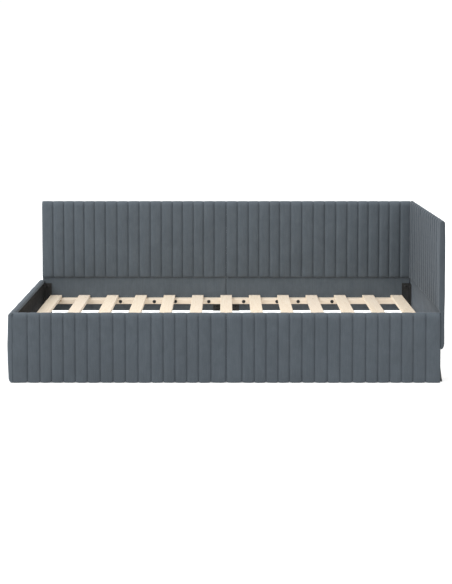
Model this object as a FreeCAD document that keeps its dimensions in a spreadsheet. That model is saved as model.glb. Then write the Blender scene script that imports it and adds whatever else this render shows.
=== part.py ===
import FreeCAD, Part
import operator
import os
import Sketcher
from types import SimpleNamespace

# An L-shaped upholstered daybed: a low front panel and a low left end panel, a tall back panel and a
# tall right end panel, and a slatted base between them.
# +X runs to the right as seen from the front, +Y to the back and +Z up, in millimetres.
# The origin is on the floor, at the middle of the bed's length and depth.

DRIVING_SIZES = {
    "overall_length": 2085,
    "overall_depth": 975,
    "low_height": 333,
    "back_height": 775,
    "clear_height": 161,
    "tuft_base": 347,
    "panel_span": 2042,
    "half_joint": 0.6,
    "board_thick": 12,
    "pad_thick": 16,
    "end_pad_thick": 12,
    "cover_thick": 3,
    "lining_thick": 2,
    "top_wrap": 8,
    "floor_wrap": 6,
    "cover_lap": 15,
    "soft_round": 12,
    "lap_round": 6,
    "end_band": 20.5,
    "nose_thick": 6,
    "foot_room": 20,
    "slat_top": 250,
    "slat_thick": 15,
    "slat_width": 63,
    "slat_pitch": 157.8,
    "slat_ease": 2,
    "slat_gap": 0.5,
    "slat_screw_offset": 16,
    "rail_height": 27,
    "rail_depth": 50,
    "rail_end": 970.5,
    "left_leg_flange": 40,
    "right_leg_flange": 46,
    "leg_top": 316,
    "leg_steel": 4,
    "leg_side": 50,
    "flare_height": 155,
    "flare_radius": 900,
    "glide_height": 4,
    "glide_width": 12,
    "upper_leg_bolt": 298,
    "lower_leg_bolt": 205,
    "leg_bolt_inset": 20,
    "centre_leg_side": 40,
    "centre_plate_length": 120,
    "plate_steel": 3,
    "joint_plate_length": 144,
    "bolt_radius": 4,
    "bolt_head_thick": 4,
    "rail_head_radius": 9.5,
    "leg_head_radius": 7,
    "insert_radius": 6.5,
    "insert_length": 10,
    "screw_radius": 2,
    "screw_head_radius": 4.5,
    "screw_head_thick": 2.5,
    "slat_screw_length": 34,
    "plate_screw_length": 12,
}
SLAT_COUNT = 13
RAIL_BOLTS_X = (96.5, 281, 398, 585, 825)
JOINT_SCREWS_X = (-55, -20, 20, 55)
CENTRE_SCREWS_X = (-48, -30, 30, 48)
SIDES = {"left": -1, "right": 1}

TURN = {
    "+x": FreeCAD.Rotation(FreeCAD.Vector(0, 0, 1), FreeCAD.Vector(1, 0, 0)),
    "-x": FreeCAD.Rotation(FreeCAD.Vector(0, 0, 1), FreeCAD.Vector(-1, 0, 0)),
    "+y": FreeCAD.Rotation(FreeCAD.Vector(0, 0, 1), FreeCAD.Vector(0, 1, 0)),
    "-y": FreeCAD.Rotation(FreeCAD.Vector(0, 0, 1), FreeCAD.Vector(0, -1, 0)),
    "+z": FreeCAD.Rotation(),
    "-z": FreeCAD.Rotation(FreeCAD.Vector(1, 0, 0), 180),
}


class Length:
    """A length as a formula of the sheet's cells, with its present value in millimetres."""

    def __init__(self, formula, value):
        self.formula = formula
        self.value = float(value)

    def combined(self, other, sign, action):
        other = length(other)
        return Length(f"({self.formula} {sign} {other.formula})", action(self.value, other.value))

    def __add__(self, other):
        return self.combined(other, "+", operator.add)

    def __sub__(self, other):
        return self.combined(other, "-", operator.sub)

    def __mul__(self, other):
        return self.combined(other, "*", operator.mul)

    def __truediv__(self, other):
        return self.combined(other, "/", operator.truediv)

    def __neg__(self):
        return self * -1


def length(item):
    """A Length from a Length or a plain number."""
    return item if isinstance(item, Length) else Length(f"({item})", item)


doc = FreeCAD.newDocument("daybed")
sheet = doc.addObject("Spreadsheet::Sheet", "Sizes")
for row, (alias, size) in enumerate(DRIVING_SIZES.items(), start=1):
    sheet.set(f"A{row}", alias)
    sheet.set(f"B{row}", str(size))
    sheet.setAlias(f"B{row}", alias)
doc.recompute()
s = SimpleNamespace(**{alias: Length(f"Sizes.{alias}", size) for alias, size in DRIVING_SIZES.items()})
FLOOR = length(0)
nodes = []

# Planes of the bed, from its outer faces inwards.
front_face = -s.overall_depth / 2
front_board = front_face + s.pad_thick
front_board_rear = front_board + s.board_thick
front_inside = front_board_rear + s.lining_thick
rear_face = s.overall_depth / 2
back_board_rear = rear_face - s.lining_thick
back_board = back_board_rear - s.board_thick
back_tufts = back_board - s.pad_thick
back_inside = back_board - s.cover_thick
left_face = -s.overall_length / 2
left_board = left_face + s.pad_thick
left_board_inner = left_board + s.board_thick
left_inside = left_board_inner + s.lining_thick
right_face = s.overall_length / 2
right_board_outer = right_face - s.cover_thick
right_board = right_board_outer - s.board_thick
right_inside = right_board - s.cover_thick
right_tufts = right_board - s.end_pad_thick
rail_top = s.slat_top - s.slat_thick
rail_base = rail_top - s.rail_height
rail_middle = rail_top - s.rail_height / 2
front_rail_inner = front_inside + s.rail_depth
back_rail_inner = back_inside - s.rail_depth
panel_thick = s.pad_thick + s.board_thick + s.lining_thick
leg_inner = {"left": -left_inside - s.left_leg_flange, "right": right_inside - s.right_leg_flange}


def bind(item, **lengths):
    """Bind properties to lengths; a double underscore in a name stands for a dot."""
    for path, value in lengths.items():
        item.setExpression(path.replace("__", "."), length(value).formula)


def put(item, x=FLOOR, y=FLOOR, z=FLOOR):
    """Bind an object's position."""
    bind(item, Placement__Base__x=x, Placement__Base__y=y, Placement__Base__z=z)


def keep(item, label):
    """Make an object a sub-part of the bed, under its own name."""
    item.Label = label
    nodes.append(item)
    return item


def span(side, inner, outer):
    """The low and high ends of a stretch given by its distances from the middle, on one side."""
    ends = (length(inner) * side, length(outer) * side)
    return ends if side > 0 else ends[::-1]


def block(name, x, y, z):
    """A straight piece between two corners."""
    box = doc.addObject("Part::Box", name)
    bind(box, Length=x[1] - x[0], Width=y[1] - y[0], Height=z[1] - z[0])
    put(box, x[0], y[0], z[0])
    return box


def drilled(blank, *fasteners):
    """The blank with the room of each group of fasteners cut out of it."""
    for tool in fasteners:
        cut = doc.addObject("Part::Cut", f"{blank.Name}_drilled")
        cut.Base = blank
        cut.Tool = tool
        blank = cut
    return blank


def stepped_pin(name, steps, start, axis):
    """Coaxial steps from a point along an axis: (radius, length), or (radius, radius, length)."""
    parts = []
    reach = FLOOR
    for number, step in enumerate(steps):
        if len(step) == 2:
            part = doc.addObject("Part::Cylinder", f"{name}_step{number}")
            bind(part, Radius=step[0], Height=step[1])
        else:
            part = doc.addObject("Part::Cone", f"{name}_step{number}")
            bind(part, Radius1=step[0], Radius2=step[1], Height=step[2])
        part.Placement = FreeCAD.Placement(FreeCAD.Vector(), TURN[axis])
        place = dict(zip("xyz", start))
        forward = 1 if axis[0] == "+" else -1
        place[axis[1]] = length(place[axis[1]]) + reach * forward
        put(part, **place)
        reach = reach + step[-1]
        parts.append(part)
    if len(parts) == 1:
        return parts[0]
    pin = doc.addObject("Part::MultiFuse", name)
    pin.Shapes = parts
    return pin


def group(name, members):
    """Separate identical pieces held together as one sub-part."""
    compound = doc.addObject("Part::Compound", name)
    compound.Links = members
    return compound


def new_body(name, x=FLOOR, y=FLOOR, z=FLOOR):
    """A part-design body at a bound position."""
    body = doc.addObject("PartDesign::Body", name)
    put(body, x, y, z)
    return body


def new_sketch(body, name, role):
    """An empty sketch on one of the body's own origin planes."""
    sketch = body.newObject("Sketcher::SketchObject", name)
    plane = next(item for item in body.Origin.OriginFeatures if item.Role == role)
    sketch.AttachmentSupport = [(plane, "")]
    sketch.MapMode = "FlatFace"
    return sketch


def hold_point(sketch, geometry, end, across=None, up=None):
    """Hold a sketch point at bound distances from one axis or both."""
    for place, kind, axis in ((across, "DistanceX", -2), (up, "DistanceY", -1)):
        if place is None:
            continue
        place = length(place)
        if place.value == 0:
            sketch.addConstraint(Sketcher.Constraint("PointOnObject", geometry, end, axis))
            continue
        number = sketch.addConstraint(Sketcher.Constraint(kind, geometry, end, place.value))
        sketch.setExpression(f"Constraints[{number}]", place.formula)


def join(sketch, first, first_end, second, second_end):
    """Join the ends of two pieces of sketch geometry."""
    sketch.addConstraint(
        Sketcher.Constraint("Coincident", first, first_end, second, second_end)
    )


def outline(body, name, role, corners):
    """A closed sketch with straight sides between bound corners."""
    sketch = new_sketch(body, name, role)
    points = [FreeCAD.Vector(length(across).value, length(up).value, 0) for across, up in corners]
    for start, end in zip(points, points[1:] + points[:1]):
        sketch.addGeometry(Part.LineSegment(start, end))
    for index in range(len(points)):
        join(sketch, index, 2, (index + 1) % len(points), 1)
    for index, (across, up) in enumerate(corners):
        hold_point(sketch, index, 1, across, up)
    return sketch


def rectangle(body, name, role, low, high):
    """A rectangular sketch between two bound corners."""
    corners = [low, (high[0], low[1]), high, (low[0], high[1])]
    return outline(body, name, role, corners)


def pad(body, name, sketch, thick, reverse=False):
    """Extrude a sketch by a bound length."""
    feature = body.newObject("PartDesign::Pad", name)
    feature.Profile = sketch
    feature.Reversed = reverse
    bind(feature, Length=thick)
    body.Tip = feature
    doc.recompute()
    return feature


def rounded(body, name, base, wanted, radius):
    """Round the edges whose ends all satisfy a test on their position in the body."""
    names = [
        f"Edge{number}"
        for number, edge in enumerate(base.Shape.Edges, start=1)
        if all(wanted(vertex.Point) for vertex in edge.Vertexes)
    ]
    feature = body.newObject("PartDesign::Fillet", name)
    feature.Base = (base, names)
    bind(feature, Radius=radius)
    body.Tip = feature
    doc.recompute()
    return feature


def near(value, place):
    """Whether a coordinate is at a length."""
    return abs(value - length(place).value) < 0.01


def low_panel_cover_corners():
    """Section of a low panel's cover: it wraps over the board and laps onto its inner face."""
    board_rear = s.pad_thick + s.board_thick
    top = s.low_height
    return [
        (0, 0),
        (panel_thick, 0),
        (panel_thick, s.cover_lap),
        (board_rear, s.cover_lap),
        (board_rear, s.floor_wrap),
        (s.pad_thick, s.floor_wrap),
        (s.pad_thick, top - s.top_wrap),
        (board_rear, top - s.top_wrap),
        (board_rear, top - s.cover_lap),
        (panel_thick, top - s.cover_lap),
        (panel_thick, top),
        (0, top),
    ]


def near_top_or_floor(point):
    """Whether a point is at the top or at the floor of a low panel."""
    return near(point.z, s.low_height) or near(point.z, 0)


def front_panel(side_name, bolts, inserts, screws):
    """One half of the low front panel: board, tufted cover and inner lining."""
    side = SIDES[side_name]
    x = span(side, s.half_joint / 2, s.panel_span / 2)
    body = new_body(f"front_cover_{side_name}", x[0], front_face)
    sketch = outline(body, f"front_section_{side_name}", "YZ_Plane", low_panel_cover_corners())
    base = pad(body, f"front_pad_length_{side_name}", sketch, x[1] - x[0])
    rounded(
        body,
        f"front_round_{side_name}",
        base,
        lambda point: near(point.y, 0) and near_top_or_floor(point),
        s.soft_round,
    )
    keep(body, f"front_pad_{side_name}")
    board = block(
        f"front_blank_{side_name}",
        x,
        (front_board, front_board_rear),
        (s.floor_wrap, s.low_height - s.top_wrap),
    )
    keep(drilled(board, bolts, inserts, screws), f"front_board_{side_name}")
    lining = block(
        f"front_lining_blank_{side_name}",
        x,
        (front_board_rear, front_inside),
        (s.cover_lap, s.low_height - s.cover_lap),
    )
    keep(drilled(lining, bolts, screws), f"front_lining_{side_name}")


def back_panel(side_name, bolts, inserts, screws):
    """One half of the tall back panel: board, tufted upper cover, plain lower cover, rear lining."""
    side = SIDES[side_name]
    x = span(side, s.half_joint / 2, s.panel_span / 2)
    board_rear = s.pad_thick + s.board_thick
    top = s.back_height
    upper = new_body(f"back_upper_{side_name}", x[0], back_tufts)
    corners = [
        (0, s.tuft_base),
        (s.pad_thick, s.tuft_base),
        (s.pad_thick, top - s.top_wrap),
        (board_rear, top - s.top_wrap),
        (board_rear, top - s.cover_lap),
        (panel_thick, top - s.cover_lap),
        (panel_thick, top),
        (0, top),
    ]
    sketch = outline(upper, f"back_upper_section_{side_name}", "YZ_Plane", corners)
    base = pad(upper, f"back_upper_length_{side_name}", sketch, x[1] - x[0])
    rounded(
        upper,
        f"back_upper_round_{side_name}",
        base,
        lambda point: near(point.y, 0) and near(point.z, top),
        s.soft_round,
    )
    keep(upper, f"back_pad_{side_name}")

    lower = new_body(f"back_lower_{side_name}", x[0], back_inside, s.clear_height)
    cover_rear = s.cover_thick + s.board_thick
    corners = [
        (0, 0),
        (cover_rear + s.lining_thick, 0),
        (cover_rear + s.lining_thick, s.cover_lap),
        (cover_rear, s.cover_lap),
        (cover_rear, s.cover_thick),
        (s.cover_thick, s.cover_thick),
        (s.cover_thick, s.tuft_base - s.clear_height),
        (0, s.tuft_base - s.clear_height),
    ]
    sketch = outline(lower, f"back_lower_section_{side_name}", "YZ_Plane", corners)
    pad(lower, f"back_lower_length_{side_name}", sketch, x[1] - x[0])
    keep(drilled(lower, bolts, screws), f"back_lower_cover_{side_name}")

    board = block(
        f"back_blank_{side_name}",
        x,
        (back_board, back_board_rear),
        (s.clear_height + s.cover_thick, top - s.top_wrap),
    )
    keep(drilled(board, bolts, inserts, screws), f"back_board_{side_name}")
    lining = block(
        f"back_lining_blank_{side_name}",
        x,
        (back_board_rear, rear_face),
        (s.clear_height + s.cover_lap, top - s.cover_lap),
    )
    keep(lining, f"back_lining_{side_name}")


def left_end_panel(bolts, inserts):
    """The low left end panel. Its cover turns the front corner beside the front panel's end."""
    body = new_body("left_end_cover", left_face, front_face)
    run = back_inside - front_face
    sketch = outline(body, "left_end_section", "XZ_Plane", low_panel_cover_corners())
    bind(sketch, AttachmentOffset__Base__z=-panel_thick)
    pad(body, "left_end_run", sketch, run - panel_thick, reverse=True)
    band = rectangle(body, "left_end_band_section", "XZ_Plane", (0, 0), (s.end_band, s.low_height))
    base = pad(body, "left_end_band", band, panel_thick, reverse=True)
    rounded(
        body,
        "left_end_round",
        base,
        lambda point: near(point.x, 0) and near_top_or_floor(point),
        s.soft_round,
    )
    keep(body, "left_end_pad")
    y = (front_inside, back_inside)
    board = block(
        "left_end_blank",
        (left_board, left_board_inner),
        y,
        (s.floor_wrap, s.low_height - s.top_wrap),
    )
    keep(drilled(board, bolts, inserts), "left_end_board")
    lining = block(
        "left_end_lining_blank",
        (left_board_inner, left_inside),
        y,
        (s.cover_lap, s.low_height - s.cover_lap),
    )
    keep(drilled(lining, bolts), "left_end_lining")


def right_end_panel(bolts, inserts):
    """The tall right end panel, tufted on its inner face above the seat."""
    top = s.back_height
    low = s.clear_height
    wall = s.board_thick + s.cover_thick
    height = top - low
    outer = new_body("right_end_outer", right_board, front_face, low)
    corners = [
        (0, 0),
        (wall, 0),
        (wall, height),
        (0, height),
        (0, height - s.top_wrap),
        (s.board_thick, height - s.top_wrap),
        (s.board_thick, s.foot_room),
        (0, s.foot_room),
    ]
    sketch = outline(outer, "right_end_outer_section", "XZ_Plane", corners)
    pad(outer, "right_end_outer_run", sketch, back_inside - front_face, reverse=True)
    end = rectangle(outer, "right_end_front_section", "XZ_Plane", (0, 0), (wall, height))
    base = pad(outer, "right_end_front_wrap", end, s.nose_thick, reverse=True)
    rounded(
        outer,
        "right_end_outer_round",
        base,
        lambda point: near(point.x, wall) and near(point.z, height),
        s.lap_round,
    )
    keep(outer, "right_end_outer_cover")

    inner = new_body("right_end_inner", right_tufts, front_face, s.tuft_base)
    section = rectangle(
        inner,
        "right_end_inner_section",
        "XZ_Plane",
        (0, 0),
        (s.end_pad_thick, top - s.tuft_base),
    )
    base = pad(inner, "right_end_inner_run", section, back_tufts - front_face, reverse=True)
    rounded(
        inner,
        "right_end_inner_round",
        base,
        lambda point: near(point.x, 0) and near(point.z, top - s.tuft_base),
        s.lap_round,
    )
    keep(inner, "right_end_pad")
    cover = block(
        "right_end_lower_blank",
        (right_inside, right_board),
        (front_face, back_inside),
        (low, s.tuft_base),
    )
    keep(drilled(cover, bolts), "right_end_lower_cover")
    board = block(
        "right_end_blank",
        (right_board, right_board_outer),
        (front_face + s.nose_thick, back_inside),
        (low + s.foot_room, top - s.top_wrap),
    )
    keep(drilled(board, bolts, inserts), "right_end_board")


def slat_rail(place, side_name, y, bolts, screws):
    """A pine rail along the lower part of a panel half."""
    x = span(SIDES[side_name], s.half_joint / 2, s.rail_end)
    body = new_body(f"rail_{place}_{side_name}", x[0], y[0], rail_base)
    section = rectangle(
        body,
        f"rail_section_{place}_{side_name}",
        "YZ_Plane",
        (0, 0),
        (s.rail_depth, s.rail_height),
    )
    base = pad(body, f"rail_length_{place}_{side_name}", section, x[1] - x[0])
    free_face = s.rail_depth if place == "front" else FLOOR
    rounded(
        body,
        f"rail_ease_{place}_{side_name}",
        base,
        lambda point: near(point.z, s.rail_height) and near(point.y, free_face),
        s.slat_ease,
    )
    keep(drilled(body, bolts, screws), f"slat_rail_{place}_{side_name}")


def slat(number, screws):
    """One pine slat with eased long edges, screwed to both rails."""
    middle = s.slat_pitch * (number - (SLAT_COUNT + 1) / 2)
    near_end = front_inside + s.leg_steel + s.slat_gap
    run = back_inside - s.leg_steel - s.slat_gap - near_end
    body = new_body(f"slat_body_{number:02d}", middle - s.slat_width / 2, near_end, rail_top)
    section = rectangle(body, f"slat_plan_{number:02d}", "XY_Plane", (0, 0), (s.slat_width, run))
    base = pad(body, f"slat_board_{number:02d}", section, s.slat_thick)
    rounded(
        body,
        f"slat_ease_{number:02d}",
        base,
        lambda point: near(point.z, s.slat_thick),
        s.slat_ease,
    )
    keep(drilled(body, screws), f"slat_{number:02d}")


def slat_fasteners():
    """Two countersunk screws at each end of every slat."""
    steps = [
        (s.screw_head_radius, s.screw_radius, s.screw_head_thick),
        (s.screw_radius, s.slat_screw_length - s.screw_head_thick),
    ]
    screws = []
    for number in range(1, SLAT_COUNT + 1):
        middle = s.slat_pitch * (number - (SLAT_COUNT + 1) / 2)
        for offset in (-s.slat_screw_offset, s.slat_screw_offset):
            for row in (front_inside + s.rail_depth / 2, back_inside - s.rail_depth / 2):
                name = f"slat_screw_{len(screws)}"
                screws.append(stepped_pin(name, steps, (middle + offset, row, s.slat_top), "-z"))
    return group("slat_screw_group", screws)


def rail_fasteners(place, inner, skin, axis):
    """Bolts through a rail and the panel's skin, and the threaded inserts in the board."""
    forward = 1 if axis[0] == "+" else -1
    depth = s.rail_depth + skin + s.insert_length
    steps = [(s.rail_head_radius, s.bolt_head_thick), (s.bolt_radius, depth)]
    bolts = []
    sleeves = []
    for side in SIDES.values():
        for distance in RAIL_BOLTS_X:
            name = f"rail_bolt_{place}_{len(bolts)}"
            x = length(distance * side)
            head = inner - s.bolt_head_thick * forward
            bolts.append(stepped_pin(name, steps, (x, head, rail_middle), axis))
            board = inner + (s.rail_depth + skin) * forward
            sleeve = [(s.insert_radius, s.insert_length)]
            sleeves.append(stepped_pin(f"{name}_sleeve", sleeve, (x, board, rail_middle), axis))
    bolt_group = group(f"rail_bolts_{place}_group", bolts)
    sleeve_group = group(f"rail_sleeves_{place}_group", sleeves)
    return bolt_group, drilled(sleeve_group, bolt_group)


def leg_fasteners():
    """Bolts through both sides of each corner leg, and their threaded inserts."""
    front_bolt_y = front_inside + s.leg_side / 2
    back_bolt_y = back_inside - s.leg_side / 2
    places = []
    for height in (s.upper_leg_bolt, s.lower_leg_bolt):
        for side_name, side in SIDES.items():
            x = (leg_inner[side_name] + s.leg_bolt_inset) * side
            places.append(((x, front_inside, height), "-y", s.lining_thick))
            places.append(((x, back_inside, height), "+y", s.cover_thick))
        for y in (front_bolt_y, back_bolt_y):
            places.append(((left_inside, y, height), "-x", s.lining_thick))
            places.append(((right_inside, y, height), "+x", s.cover_thick))
    bolts = []
    sleeves = []
    for number, (skin_face, axis, skin) in enumerate(places):
        forward = 1 if axis[0] == "+" else -1
        along = "xyz".index(axis[1])
        head = list(skin_face)
        head[along] = length(head[along]) - (s.leg_steel + s.bolt_head_thick) * forward
        board = list(skin_face)
        board[along] = length(board[along]) + skin * forward
        steps = [
            (s.leg_head_radius, s.bolt_head_thick),
            (s.bolt_radius, s.leg_steel + skin + s.insert_length),
        ]
        bolts.append(stepped_pin(f"leg_bolt_{number}", steps, head, axis))
        sleeve = [(s.insert_radius, s.insert_length)]
        sleeves.append(stepped_pin(f"leg_sleeve_{number}", sleeve, board, axis))
    bolt_group = group("leg_bolt_group", bolts)
    return bolt_group, drilled(group("leg_sleeve_group", sleeves), bolt_group)


def plate_fasteners():
    """Pan-head screws of the two joint plates and of the centre leg's top plate."""
    steps = [
        (s.screw_head_radius, s.screw_head_thick),
        (s.screw_radius, s.plate_screw_length),
    ]
    plate_middle = (s.clear_height + rail_base) / 2
    stand_off = s.plate_steel + s.screw_head_thick
    joint = []
    for x in JOINT_SCREWS_X:
        front = (length(x), front_inside + stand_off, plate_middle)
        back = (length(x), back_inside - stand_off, plate_middle)
        joint.append(stepped_pin(f"front_joint_screw_{len(joint)}", steps, front, "-y"))
        joint.append(stepped_pin(f"back_joint_screw_{len(joint)}", steps, back, "+y"))
    return group("joint_screw_group", joint)


def centre_leg_fasteners():
    """Screws up through the centre leg's top plate into both back rails."""
    steps = [
        (s.screw_head_radius, s.screw_head_thick),
        (s.screw_radius, s.plate_screw_length),
    ]
    y = back_inside - s.rail_depth / 2
    z = rail_base - s.plate_steel - s.screw_head_thick
    screws = [
        stepped_pin(f"centre_leg_screw_{number}", steps, (length(x), y, z), "+z")
        for number, x in enumerate(CENTRE_SCREWS_X)
    ]
    return group("centre_leg_screw_group", screws)


def corner_leg(place, side_name, bolts):
    """An angle-section steel leg. On the right its foot flares out under the tall end panel."""
    side = SIDES[side_name]
    front = place == "front"
    panel = front_inside if front else back_inside - s.leg_steel
    outer = right_inside if side > 0 else -left_inside
    x = span(side, leg_inner[side_name], outer)
    y_start = front_inside if front else back_inside - s.leg_side
    name = f"leg_{place}_{side_name}"
    body = new_body(name, x[0], y_start, s.glide_height)
    height = s.leg_top - s.glide_height
    flange_y = panel - y_start
    flange_base = s.flare_height if side > 0 else s.glide_height
    section = rectangle(
        body,
        f"{name}_flange_section",
        "XZ_Plane",
        (0, flange_base - s.glide_height),
        (x[1] - x[0], height),
    )
    bind(section, AttachmentOffset__Base__z=-flange_y)
    pad(body, f"{name}_flange", section, s.leg_steel, reverse=True)
    if side > 0:
        web = flared_outline(body, f"{name}_web_section", x[1] - x[0], height)
    else:
        web = rectangle(body, f"{name}_web_section", "XZ_Plane", (0, 0), (s.leg_steel, height))
    pad(body, f"{name}_web", web, s.leg_side, reverse=True)
    keep(drilled(body, bolts), f"corner_leg_{place}_{side_name}")


def flared_outline(body, name, outer, height):
    """A strip that stands straight and then curves outwards down to its foot."""
    sketch = new_sketch(body, name, "XZ_Plane")
    bend_top = s.flare_height - s.glide_height
    radii = (s.flare_radius, s.flare_radius + s.leg_steel)
    centre = FreeCAD.Vector((outer + s.flare_radius).value, bend_top.value, 0)

    def on_bend(radius, drop):
        """A point of a bend, a drop below its top."""
        across = centre.x - (radius.value**2 - drop**2) ** 0.5
        return FreeCAD.Vector(across, centre.y - drop, 0)

    bends = [
        Part.Arc(*(on_bend(radius, centre.y * share) for share in (0, 0.5, 1))) for radius in radii
    ]
    tops = [FreeCAD.Vector(on_bend(radius, 0).x, height.value, 0) for radius in radii]
    feet = [on_bend(radius, centre.y) for radius in radii]
    near_line, near_bend, foot_line, far_bend, far_line, top_line = range(6)
    sketch.addGeometry(
        [
            Part.LineSegment(tops[0], on_bend(radii[0], 0)),
            bends[0],
            Part.LineSegment(*feet),
            bends[1],
            Part.LineSegment(on_bend(radii[1], 0), tops[1]),
            Part.LineSegment(tops[1], tops[0]),
        ]
    )
    join(sketch, near_line, 2, near_bend, 1)
    join(sketch, near_bend, 2, foot_line, 1)
    join(sketch, foot_line, 2, far_bend, 2)
    join(sketch, far_bend, 1, far_line, 1)
    join(sketch, far_line, 2, top_line, 1)
    join(sketch, top_line, 2, near_line, 1)
    join(sketch, near_bend, 3, far_bend, 3)
    sketch.addConstraint(Sketcher.Constraint("Vertical", far_line))
    sketch.addConstraint(Sketcher.Constraint("Horizontal", top_line))
    for bend, radius in zip((near_bend, far_bend), radii):
        number = sketch.addConstraint(Sketcher.Constraint("Radius", bend, radius.value))
        sketch.setExpression(f"Constraints[{number}]", radius.formula)
        hold_point(sketch, bend, 2, up=0)
    hold_point(sketch, near_bend, 3, up=bend_top)
    hold_point(sketch, far_bend, 1, up=bend_top)
    hold_point(sketch, near_line, 1, across=outer, up=height)
    hold_point(sketch, near_line, 2, across=outer, up=bend_top)
    return sketch


def centre_leg(screws):
    """A square leg with a top plate, under the joint of the two back rails."""
    half = s.centre_leg_side / 2
    y_middle = back_inside - s.rail_depth / 2
    body = new_body("centre_leg_body", -half, y_middle - half, s.glide_height)
    plan = rectangle(
        body,
        "centre_leg_plan",
        "XY_Plane",
        (0, 0),
        (s.centre_leg_side, s.centre_leg_side),
    )
    tall = rail_base - s.plate_steel - s.glide_height
    base = pad(body, "centre_leg_height", plan, tall)
    rounded(
        body,
        "centre_leg_ease",
        base,
        lambda point: near(point.z, 0),
        s.slat_ease,
    )
    keep(body, "centre_leg")
    half_plate = s.centre_plate_length / 2
    plate = block(
        "centre_plate_blank",
        (-half_plate, half_plate),
        (y_middle - half, y_middle + half),
        (rail_base - s.plate_steel, rail_base),
    )
    keep(drilled(plate, screws), "centre_leg_plate")


def joint_plate(place, y, screws):
    """A steel plate across the joint of a panel's two halves."""
    half = s.joint_plate_length / 2
    plate = block(f"{place}_plate_blank", (-half, half), y, (s.clear_height, rail_base))
    keep(drilled(plate, screws), f"{place}_joint_plate")


def floor_glides():
    """Plastic glides under the four corner legs and the centre leg."""
    z = (FLOOR, s.glide_height)
    flare_run = s.flare_height - s.glide_height
    rise = (s.flare_radius.value**2 - flare_run.value**2) ** 0.5
    toe = right_inside + (s.flare_radius.value - rise)
    rows = {
        "front": (front_inside, front_inside + s.leg_side),
        "back": (back_inside - s.leg_side, back_inside),
    }
    glides = []
    for place, y in rows.items():
        left = (left_inside, left_inside + s.glide_width)
        right = (toe - s.glide_width, toe)
        glides.append(block(f"glide_{place}_left", left, y, z))
        glides.append(block(f"glide_{place}_right", right, y, z))
    half = s.centre_leg_side / 2 - s.slat_ease
    y_middle = back_inside - s.rail_depth / 2
    glides.append(block("glide_centre", (-half, half), (y_middle - half, y_middle + half), z))
    keep(group("glide_group", glides), "floor_glides")


def build():
    """Make every sub-part."""
    front_bolts, front_inserts = rail_fasteners("front", front_rail_inner, s.lining_thick, "-y")
    back_bolts, back_inserts = rail_fasteners("back", back_rail_inner, s.cover_thick, "+y")
    leg_bolts, leg_inserts = leg_fasteners()
    joint_screws = plate_fasteners()
    centre_screws = centre_leg_fasteners()
    slat_screws = slat_fasteners()

    front_bolting = group("front_panel_bolts", [front_bolts, leg_bolts])
    back_bolting = group("back_panel_bolts", [back_bolts, leg_bolts])
    front_sleeves = group("front_panel_sleeves", [front_inserts, leg_inserts])
    back_sleeves = group("back_panel_sleeves", [back_inserts, leg_inserts])
    for side_name in SIDES:
        front_panel(side_name, front_bolting, front_sleeves, joint_screws)
        back_panel(side_name, back_bolting, back_sleeves, joint_screws)
        rail_screws = group(f"back_rail_screws_{side_name}", [slat_screws, centre_screws])
        slat_rail("front", side_name, (front_inside, front_rail_inner), front_bolts, slat_screws)
        slat_rail("back", side_name, (back_rail_inner, back_inside), back_bolts, rail_screws)
        corner_leg("front", side_name, leg_bolts)
        corner_leg("rear", side_name, leg_bolts)
    left_end_panel(leg_bolts, leg_inserts)
    right_end_panel(leg_bolts, leg_inserts)
    for number in range(1, SLAT_COUNT + 1):
        slat(number, slat_screws)
    joint_plate("front", (front_inside, front_inside + s.plate_steel), joint_screws)
    joint_plate("back", (back_inside - s.plate_steel, back_inside), joint_screws)
    centre_leg(centre_screws)
    floor_glides()
    keep(front_bolts, "rail_bolts_front")
    keep(back_bolts, "rail_bolts_back")
    keep(front_inserts, "rail_inserts_front")
    keep(back_inserts, "rail_inserts_back")
    keep(leg_bolts, "leg_bolts")
    keep(leg_inserts, "leg_inserts")
    keep(joint_screws, "joint_plate_screws")
    keep(centre_screws, "centre_leg_screws")
    keep(slat_screws, "slat_screws")


def write_parts():
    """Check every object and write each sub-part to its own file."""
    doc.recompute()
    failed = [item.Name for item in doc.Objects if {"Invalid", "Error"} & set(item.State)]
    if failed:
        raise RuntimeError(f"objects that failed: {failed}")
    for item in nodes:
        if item.Shape.isNull() or not item.Shape.isValid():
            raise RuntimeError(f"{item.Label} has no valid shape")
    os.makedirs("parts", exist_ok=True)
    for item in nodes:
        item.Shape.exportStep(f"parts/{item.Label}.step")
        box = item.Shape.BoundBox
        corners = (box.XMin, box.YMin, box.ZMin, box.XMax, box.YMax, box.ZMax)
        place = " ".join(f"{value:9.2f}" for value in corners)
        print(f"{item.Label:28s} {len(item.Shape.Solids):3d} {item.Shape.Volume / 1000:10.1f} {place}")


build()
write_parts()
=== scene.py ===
"""Looks of a corner daybed: channel-tufted velvet covers, linings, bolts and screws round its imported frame.

Metres. X runs along the bed, Y from the open front to the back and Z up.
"""

import math

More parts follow.
